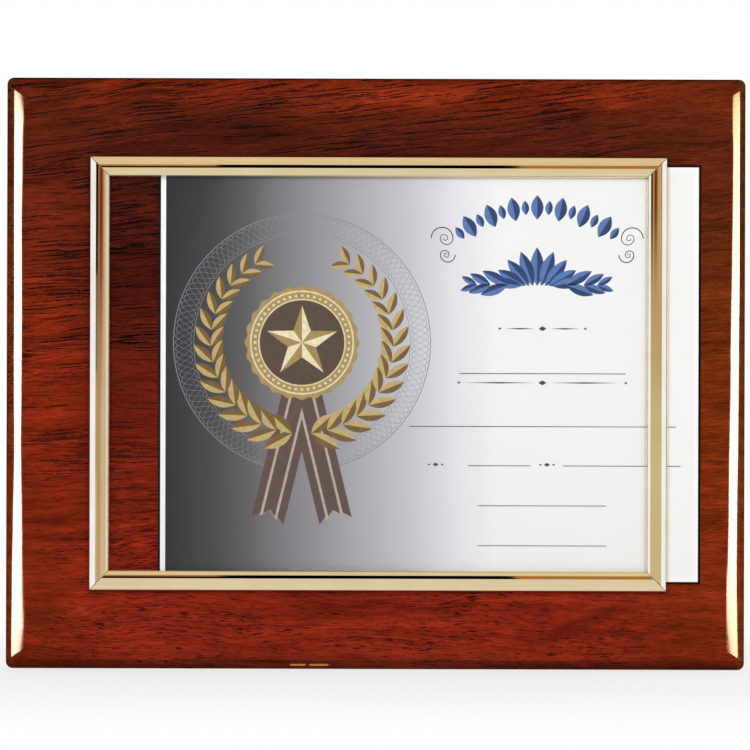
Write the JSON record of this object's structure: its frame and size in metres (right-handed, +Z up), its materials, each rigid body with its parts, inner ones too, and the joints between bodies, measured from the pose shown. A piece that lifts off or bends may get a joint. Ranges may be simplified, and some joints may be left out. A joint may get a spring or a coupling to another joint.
{
  "type": "slide-in certificate plaque",
  "caption": "Rosewood wall plaque with a mitred gold frame raised on strips, open on its right side so that a certificate and its clear cover slide in and out.",
  "frame": {"origin": "middle of the board's back face, where the plaque meets the wall", "axes": "+X to the right as seen from the front, +Y into the wall, +Z up; the front looks along -Y"},
  "size_m": [0.381, 0.0263, 0.3048],
  "materials": {
    "rosewood": "high-gloss lacquer over red-brown rosewood",
    "gold": "polished gold",
    "strip": "matt dark",
    "zinc": "zinc plated",
    "paper": "smooth white card",
    "acrylic": "clear polished acrylic"
  },
  "bodies": {
    "plaque": {"rosewood_board": "rosewood", "top_rail": "gold", "bottom_rail": "gold", "left_rail": "gold", "right_rail": "gold", "top_strip": "strip", "bottom_strip": "strip", "left_stop_strip": "strip", "corner_key_top_left": "zinc", "corner_key_top_right": "zinc", "corner_key_bottom_right": "zinc", "corner_key_bottom_left": "zinc", "frame_screw_top_1": "zinc", "frame_screw_top_2": "zinc", "frame_screw_top_3": "zinc", "frame_screw_top_4": "zinc", "frame_screw_bottom_1": "zinc", "frame_screw_bottom_2": "zinc", "frame_screw_bottom_3": "zinc", "frame_screw_bottom_4": "zinc", "frame_screw_left_1": "zinc", "frame_screw_left_2": "zinc"},
    "sheet": {"certificate": "paper"},
    "cover": {"clear_cover": "acrylic"}
  },
  "joints": [
    {"name": "certificate_slide", "type": "slide", "parent": "plaque", "child": "sheet", "axis": [1, 0, 0], "range_m": [-0.0264, 0.257]},
    {"name": "cover_slide", "type": "slide", "parent": "plaque", "child": "cover", "axis": [1, 0, 0], "range_m": [0, 0.2835]}
  ]
}
